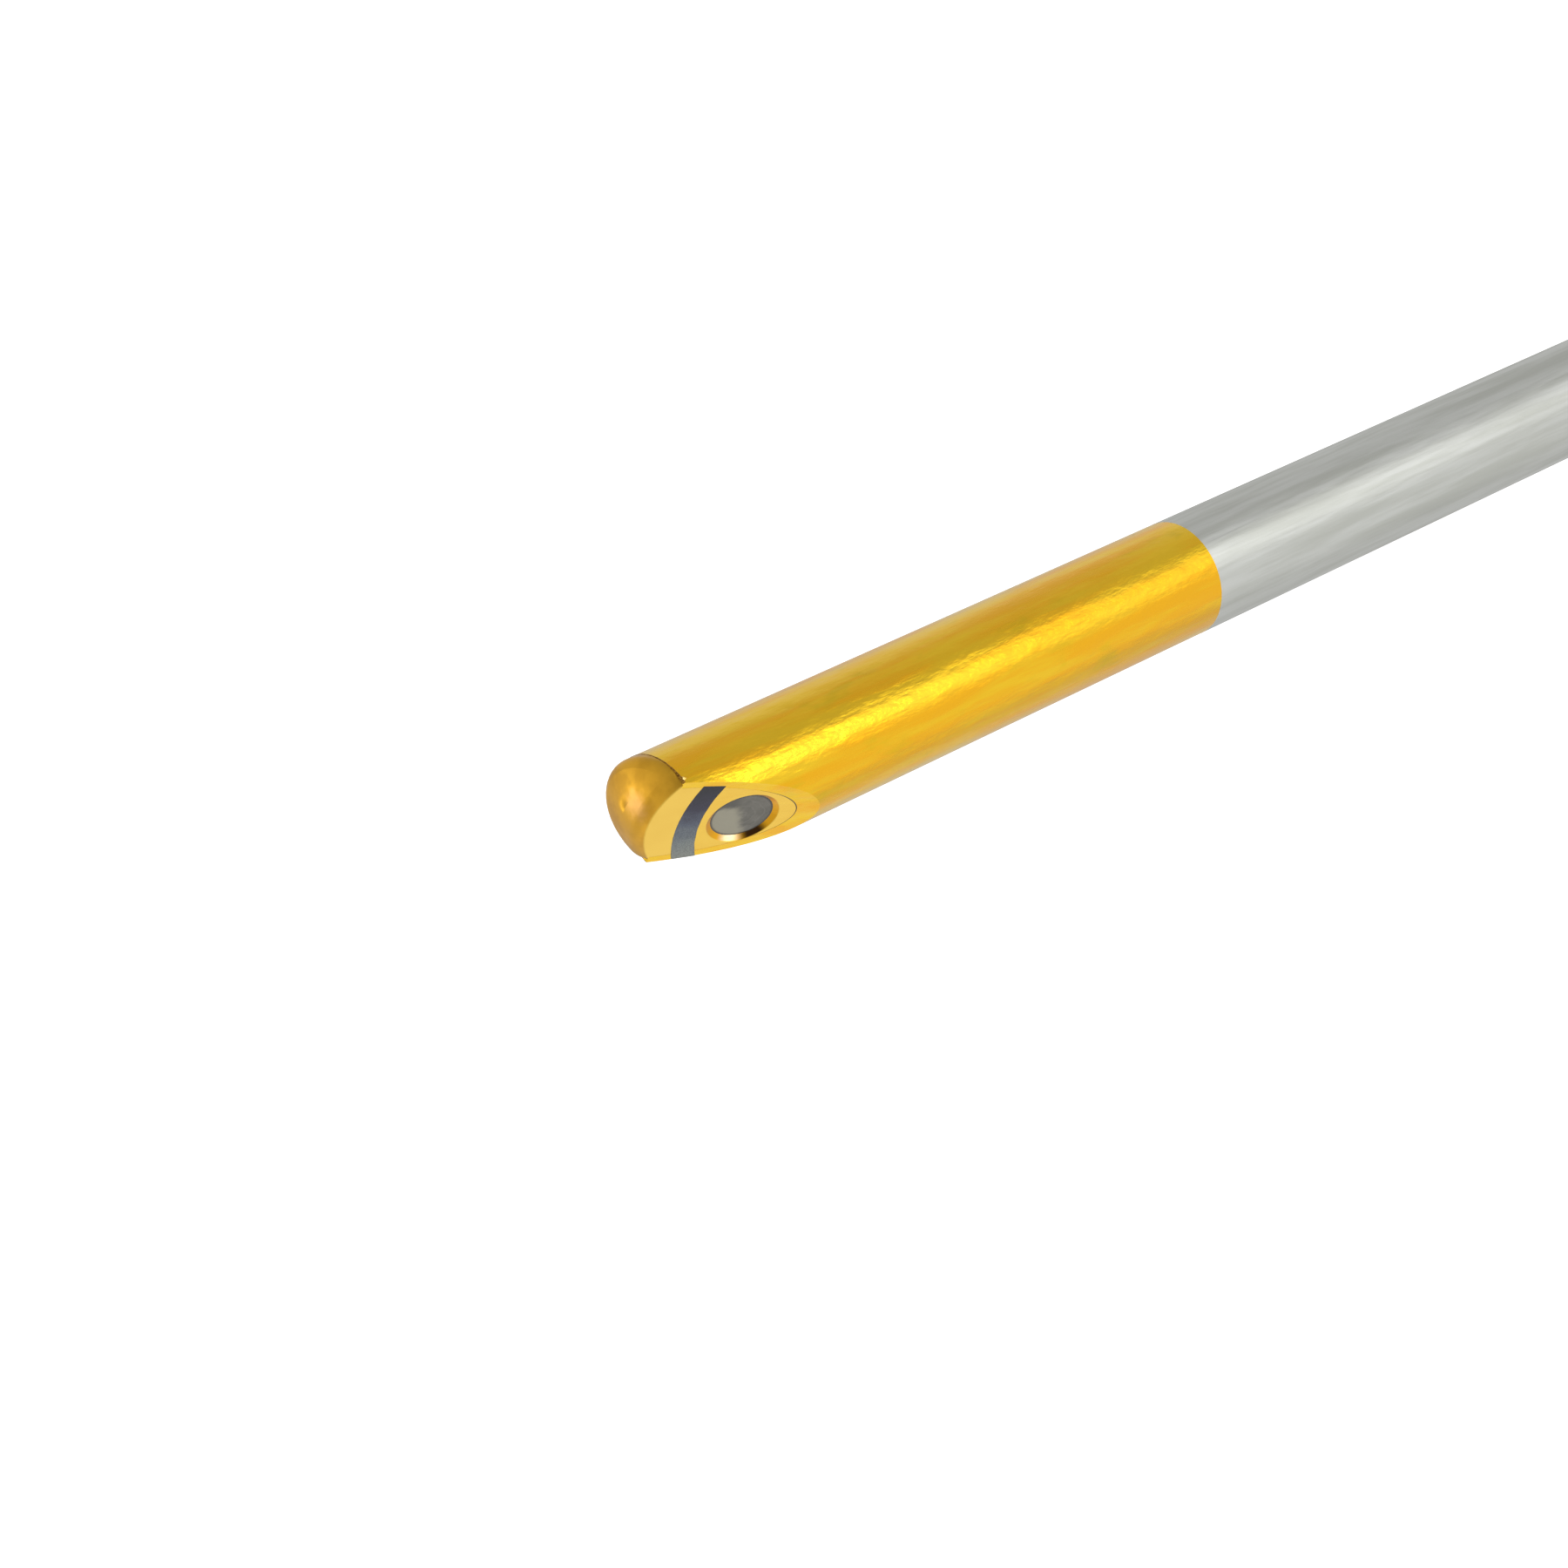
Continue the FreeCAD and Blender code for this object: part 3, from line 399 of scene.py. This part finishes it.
def black_anodised():
    look = Look("black_anodised", Metallic=0.7)
    marks = look.noise(look.stretched(24, 2, 2), 1.0, 3, 0.6)
    look.set(Base_Color=look.mix(marks, (0.02, 0.02, 0.022), (0.035, 0.035, 0.038)))
    look.set(Roughness=look.spread(marks, 0.3, 0.7, 0.45, 0.6))
    look.set(Normal=look.bump(marks, 0.01, 0.4))
    return look.material


def rubber():
    look = Look("seal_rubber", IOR=1.5)
    grain = look.noise(look.stretched(1, 1, 1), 12.0, 3, 0.6)
    look.set(Base_Color=look.mix(grain, (0.010, 0.010, 0.010), (0.020, 0.020, 0.020)))
    look.set(Roughness=look.spread(grain, 0.3, 0.7, 0.6, 0.75))
    look.set(Normal=look.bump(grain, 0.01, 0.4))
    return look.material


def yellow_enamel():
    look = Look("yellow_enamel", IOR=1.5, Coat_Weight=0.5)
    orange_peel = look.noise(look.stretched(1, 1, 1), 5.0, 2, 0.5)
    cloud = look.noise(look.stretched(0.4, 0.4, 0.4), 1.0, 3, 0.5)
    look.set(Base_Color=look.mix(cloud, (0.86, 0.60, 0.02), (0.78, 0.52, 0.015)))
    look.set(Roughness=look.spread(cloud, 0.3, 0.7, 0.2, 0.3))
    look.set(Normal=look.bump(orange_peel, 0.01, 0.25))
    return look.material


def seam_braze(name, dark, bright):
    look = Look(name, Metallic=1.0)
    pits = look.noise(look.stretched(1, 1, 1), 16.0, 4, 0.7)
    look.set(Base_Color=look.mix(look.spread(pits, 0.4, 0.6), dark, bright))
    look.set(Roughness=look.spread(pits, 0.3, 0.7, 0.25, 0.55))
    look.set(Normal=look.bump(pits, 0.02, 0.6))
    return look.material


def cement():
    look = Look("joint_cement", Specular_IOR_Level=0.3)
    grain = look.noise(look.stretched(1, 1, 1), 14.0, 3, 0.6)
    look.set(Base_Color=look.mix(grain, (0.045, 0.035, 0.018), (0.11, 0.085, 0.04)))
    look.set(Roughness=look.spread(grain, 0.3, 0.7, 0.45, 0.65))
    look.set(Normal=look.bump(grain, 0.004, 0.4))
    return look.material


def white_paint():
    look = Look("white_paint", IOR=1.5)
    chips = look.noise(look.stretched(1, 1, 1), 3.0, 4, 0.6)
    look.set(Base_Color=look.mix(look.spread(chips, 0.5, 0.75), (0.80, 0.80, 0.77), (0.62, 0.61, 0.57)))
    look.set(Roughness=look.spread(chips, 0.3, 0.7, 0.35, 0.55))
    look.set(Normal=look.bump(chips, 0.01, 0.3))
    return look.material


def dress(node, material):
    """Gives a CAD node one material in all its slots."""
    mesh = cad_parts[node].data
    mesh.materials.clear()
    mesh.materials.append(material)


def dress_frame():
    body = turned_steel("steel_body", (0.60, 0.60, 0.60), 0)
    post = turned_steel("steel_post", (0.62, 0.62, 0.62), 1, 0.28)
    adapter = turned_steel("steel_adapter", (0.66, 0.66, 0.65), 1, 0.24)
    inner = turned_steel("steel_inner", (0.50, 0.50, 0.50), 0)
    dark = black_anodised()
    lens = clear_glass("lens_glass", (0.93, 0.97, 0.96))
    seal = rubber()
    face = gold_face()
    looks = {
        "tip_nose": gold_nose(),
        "tip_sleeve": gold_sleeve(),
        "window_block": face,
        "tip_window": window_glass(),
        "light_fibres": fibre_glass(),
        "shaft_tube": steel_shaft(),
        "view_angle_ring": yellow_enamel(),
        "eyepiece_cup": black_polymer(),
        "eyepiece_window": clear_glass("coated_window", (0.86, 0.93, 0.98)),
    }
    shared = [
        (body, ["shaft_ferrule", "light_hub", "body_shell", "eyepiece_ring"]),
        (post, ["light_post", "fibre_ferrule"]),
        (adapter, ["inner_adapter", "outer_adapter"]),
        (inner, ["train_tube", "train_bush", "spring_stop_ring", "window_ring"]),
        (inner, ["preload_spring", "eyepiece_screws"]),
        (dark, ["ocular_tube", "field_stop", "lens_spacers", "ocular_lock_ring", "rod_spacers"]),
        (lens, ["negative_lens", "deflecting_prism", "objective_doublet", "relay_rods", "ocular_lenses"]),
        (seal, ["inner_adapter_seal", "outer_adapter_seal", "body_seals"]),
    ]
    for material, nodes in shared:
        for node in nodes:
            looks[node] = material
    for node, material in looks.items():
        dress(node, material)


# ---------------------------------------------------------------- pieces


def round_the_axis(x, radius, turn):
    """Point at an angle from +Y round the shaft's axis."""
    return Vector((x, radius * math.cos(turn), radius * math.sin(turn)))


def sweep(bm, path, sections):
    """Closed tube through a path. Each section lists its corners as vectors from the path's point."""
    rings = []
    for centre, corners in zip(path, sections):
        rings.append([bm.verts.new(centre + corner) for corner in corners])
    for one, two in zip(rings, rings[1:]):
        for i in range(len(one)):
            k = (i + 1) % len(one)
            bm.faces.new((one[i], one[k], two[k], two[i]))
    bm.faces.new(list(reversed(rings[0])))
    bm.faces.new(rings[-1])
    bmesh.ops.recalc_face_normals(bm, faces=bm.faces)


def finish_piece(bm, name, body, material, smooth=True):
    piece = mesh_from(bm, name, smooth)
    piece.data.materials.append(material)
    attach(piece, body)
    return piece


def seam_end_turn():
    """Angle from +Y at which the seam meets the inclined face."""
    return math.acos((FACE_POINT.x - SEAM_X) / math.tan(VIEW_ANGLE) / SHAFT_R)


def solder_seam(material):
    """Thin uneven line of solder round the joint of the dome and the sleeve, thicker at its upper end."""
    steps, sides = 180, 8
    end_turn = seam_end_turn()
    path = []
    sections = []
    for i in range(steps + 1):
        share = 2 * i / steps - 1
        turn = end_turn * share
        uneven = 0.002 * math.sin(37 * turn) + 0.0015 * math.sin(91 * turn + 1.0)
        thick = (0.009 + uneven + 0.004 * share + 0.034 * max(share, 0.0) ** 5) * MM
        path.append(round_the_axis(SEAM_X, SHAFT_R - 0.3 * thick, turn))
        outward = round_the_axis(0, 1, turn)
        corners = []
        for k in range(sides):
            a = 2 * math.pi * k / sides
            corners.append(outward * (thick * math.cos(a)) + Vector((1.5 * thick * math.sin(a), 0, 0)))
        sections.append(corners)
    bm = bmesh.new()
    sweep(bm, path, sections)
    finish_piece(bm, "seam_solder", "telescope", material)


def solder_bead(material):
    """Small bright lump of solder left beside the seam's upper end."""
    turn = seam_end_turn() - 0.07
    bm = bmesh.new()
    bmesh.ops.create_icosphere(bm, subdivisions=3, radius=0.058 * MM)
    for vert in bm.verts:
        p = vert.co / MM
        lumps = 1 + 0.2 * math.sin(70 * p.x + 1.3) * math.sin(60 * p.y) + 0.15 * math.sin(80 * p.z + 0.4)
        vert.co = Vector((1.25 * p.x, p.y, 0.8 * p.z)) * lumps * MM
    bmesh.ops.translate(bm, verts=bm.verts, vec=round_the_axis(SEAM_X + 0.07 * MM, SHAFT_R - 0.01 * MM, turn))
    finish_piece(bm, "seam_bead", "telescope", material)


def cement_line(material):
    """Fine line of cement that stands proud at the rear end of the window block, fading both ways."""
    steps = 72
    start, end = math.radians(133), math.radians(218)
    path = []
    sections = []
    for i in range(steps + 1):
        share = i / steps
        turn = start + (end - start) * share
        on_cylinder = round_the_axis(0, CORE_R, turn)
        centre = FACE_POINT + FACE_ALONG * (on_cylinder.y / FACE_ALONG.y) + Vector((0, 0, on_cylinder.z))
        from_axis = centre - FACE_POINT
        outward = (from_axis - FACE_ALONG * from_axis.dot(FACE_ALONG) * CORE_FLATTENING).normalized()
        half = (0.004 + 0.014 * math.sin(math.pi * share**0.8) ** 2) * MM
        rise = FACE_NORMAL * 0.004 * MM
        sink = FACE_NORMAL * -0.01 * MM
        path.append(centre)
        side = outward * half
        sections.append([side + sink, side, rise, side * -1, side * -1 + sink])
    bm = bmesh.new()
    sweep(bm, path, sections)
    finish_piece(bm, "joint_cement", "telescope", material)


def screw_thread(name, body, radius, start, end, material, slot):
    """Flat-topped helical crest on a post along +Y, standing just inside its running clearance."""
    crest, root, steps_per_turn, fade_steps = 0.038 * MM, 0.02 * MM, 64, 24
    steps = int((end - start) / PITCH * steps_per_turn)
    path = []
    sections = []
    for i in range(steps + 1):
        turn = 2 * math.pi * i / steps_per_turn
        outward = Vector((math.cos(turn), 0, math.sin(turn)))
        y = start + PITCH * i / steps_per_turn
        path.append(Vector((POST_X, y, 0)) + outward * (radius - root))
        fade = min(1.0, i / fade_steps, (steps - i) / fade_steps)
        top = outward * (root + crest * fade)
        half = Vector((0, 0.2 * MM, 0))
        flat = Vector((0, 0.06 * MM, 0))
        sections.append([half * -1, top - flat, top + flat, half])
    bm = bmesh.new()
    sweep(bm, path, sections)
    finish_piece(bm, name, body, material, smooth=False)


def ferrule_fillet(material):
    """Bright solder fillet where the shaft's tube enters the ferrule."""
    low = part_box("shaft_ferrule")[0]
    rings, around = 6, 96
    turns = [2 * math.pi * i / around for i in range(around)]
    width = 0.42 * MM
    bm = bmesh.new()
    loops = []
    for k in range(rings + 1):
        a = 0.5 * math.pi * k / rings
        x = low.x - width * (1 - math.sin(a))
        radius = SHAFT_R + width * (1 - math.cos(a)) + 0.002 * MM
        loops.append([bm.verts.new(round_the_axis(x, radius, turn)) for turn in turns])
    loops.append([bm.verts.new(round_the_axis(low.x, SHAFT_R, turn)) for turn in turns])
    for one, two in zip(loops, loops[1:] + loops[:1]):
        for i in range(around):
            k = (i + 1) % around
            bm.faces.new((one[i], one[k], two[k], two[i]))
    bmesh.ops.recalc_face_normals(bm, faces=bm.faces)
    finish_piece(bm, "ferrule_fillet", "telescope", material)


def index_dot(material):
    """Raised paint dot on the body, in line with the light post."""
    ring_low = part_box("view_angle_ring")[0]
    shell_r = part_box("body_shell")[1].z
    around, rings = 32, 5
    dot_r, rise, sink = 0.9 * MM, 0.05 * MM, 0.01 * MM
    centre_x = ring_low.x - 3.0 * MM
    bm = bmesh.new()
    top = bm.verts.new((centre_x, shell_r + rise, 0))
    before = None
    for k in range(1, rings + 1):
        share = k / rings
        loop = []
        for i in range(around):
            a = 2 * math.pi * i / around
            across = dot_r * share * math.sin(a)
            height = shell_r + rise * (1 - share**4) - sink * share
            turn = across / shell_r
            place = round_the_axis(centre_x + dot_r * share * math.cos(a), height, turn)
            loop.append(bm.verts.new(place))
        for i in range(around):
            j = (i + 1) % around
            if before is None:
                bm.faces.new((top, loop[i], loop[j]))
            else:
                bm.faces.new((before[i], loop[i], loop[j], before[j]))
        before = loop
    bm.faces.new(list(reversed(before)))
    bmesh.ops.recalc_face_normals(bm, faces=bm.faces)
    finish_piece(bm, "index_dot", "telescope", material)


def add_pieces():
    bronze = seam_braze("seam_braze", (0.16, 0.07, 0.012), (0.42, 0.22, 0.03))
    solder_seam(bronze)
    solder_bead(seam_braze("bead_gold", (0.80, 0.50, 0.08), (0.98, 0.80, 0.35)))
    cement_line(cement())
    thread = turned_steel("steel_thread", (0.60, 0.60, 0.59), 1, 0.26)
    screw_thread("post_thread", "telescope", *POST_THREAD, thread, "body_steel")
    screw_thread("adapter_thread", "inner_adapter", *ADAPTER_THREAD, thread, "adapter_steel")
    ferrule_fillet(seam_braze("silver_solder", (0.55, 0.55, 0.53), (0.72, 0.72, 0.69)))
    index_dot(white_paint())


# ---------------------------------------------------------------- stage


def make_world():
    """Soft studio: an even tent with a few broad patches, each lighter or darker than the rest."""
    world = bpy.data.worlds.new("studio")
    world.use_nodes = True
    bpy.context.scene.world = world
    nodes = world.node_tree.nodes
    links = world.node_tree.links
    background = nodes["Background"]
    background.inputs["Color"].default_value = (1, 1, 1, 1)
    coords = nodes.new("ShaderNodeTexCoord").outputs["Generated"]
    patches = [
        ("key", direction(-20, 49), 22, 0.56),
        ("dark_flag", direction(24, 52), 22, -0.08),
        ("window_side", direction(-52, 10), 50, 0.30),
        ("table_glow", direction(-80, -52), 45, 0.34),
        ("low_flag", direction(-48, -22), 16, -0.12),
        ("left_lamp", direction(159, -34), 17, 1.3),
        ("bevel_lamp", direction(-82, 12), 15, 1.7),
        ("edge_glow", direction(54, -4), 24, 0.12),
    ]
    level = None
    for name, towards, half_width, gain in patches:
        dot = nodes.new("ShaderNodeVectorMath")
        dot.name = name
        dot.operation = "DOT_PRODUCT"
        links.new(coords, dot.inputs[0])
        dot.inputs[1].default_value = towards
        patch = nodes.new("ShaderNodeMapRange")
        patch.interpolation_type = "SMOOTHSTEP"
        patch.inputs["From Min"].default_value = math.cos(math.radians(half_width))
        patch.inputs["From Max"].default_value = 1.0
        patch.inputs["To Max"].default_value = gain
        links.new(dot.outputs["Value"], patch.inputs["Value"])
        total = nodes.new("ShaderNodeMath")
        total.operation = "ADD"
        links.new(patch.outputs["Result"], total.inputs[0])
        if level is None:
            total.inputs[1].default_value = WORLD_LEVEL
        else:
            links.new(level, total.inputs[1])
        level = total.outputs[0]
    links.new(level, background.inputs["Strength"])


def make_floor():
    bm = bmesh.new()
    bmesh.ops.create_grid(bm, x_segments=8, y_segments=8, size=FLOOR_HALF)
    bmesh.ops.translate(bm, verts=bm.verts, vec=(0, 0, FLOOR_Z))
    floor = mesh_from(bm, "studio_floor", smooth=False)
    material = bpy.data.materials.new("studio_floor")
    material.use_nodes = True
    shader = material.node_tree.nodes["Principled BSDF"]
    shader.inputs["Base Color"].default_value = (0.9, 0.9, 0.9, 1)
    shader.inputs["Roughness"].default_value = 0.9
    shader.inputs["Emission Color"].default_value = (1, 1, 1, 1)
    shader.inputs["Emission Strength"].default_value = 0.55
    floor.data.materials.append(material)
    floor.visible_glossy = False


def make_light(name, towards, distance, size, power):
    data = bpy.data.lights.new(name, "AREA")
    data.shape = "DISK"
    data.size = size
    data.energy = power
    lamp = add_object(name, data)
    middle = (cad_box[0] + cad_box[1]) / 2
    lamp.location = middle + towards * distance
    lamp.rotation_mode = "QUATERNION"
    lamp.rotation_quaternion = towards.to_track_quat("Z", "Y")


def make_camera():
    data = bpy.data.cameras.new("camera")
    data.lens = LENS
    data.sensor_width = 36
    data.clip_start = 0.005
    data.clip_end = 40
    camera = add_object("camera", data)
    back = Vector(
        (
            math.sin(CAMERA_AZIMUTH) * math.cos(CAMERA_ELEVATION),
            -math.cos(CAMERA_AZIMUTH) * math.cos(CAMERA_ELEVATION),
            math.sin(CAMERA_ELEVATION),
        )
    )
    right = Vector((math.cos(CAMERA_AZIMUTH), math.sin(CAMERA_AZIMUTH), 0))
    up = back.cross(right)
    rolled_right = right * math.cos(CAMERA_ROLL) + up * math.sin(CAMERA_ROLL)
    rolled_up = back.cross(rolled_right)
    place = CAMERA_AIM + back * CAMERA_DISTANCE
    camera.matrix_world = Matrix(
        (
            (rolled_right.x, rolled_up.x, back.x, place.x),
            (rolled_right.y, rolled_up.y, back.y, place.y),
            (rolled_right.z, rolled_up.z, back.z, place.z),
            (0, 0, 0, 1),
        )
    )
    bpy.context.scene.camera = camera


make_camera()
make_world()
make_floor()
make_light("overhead", direction(-60, 70), 0.9, 0.5, 3.0)
bpy.context.scene.view_settings.view_transform = "Standard"
dress_frame()
add_pieces()
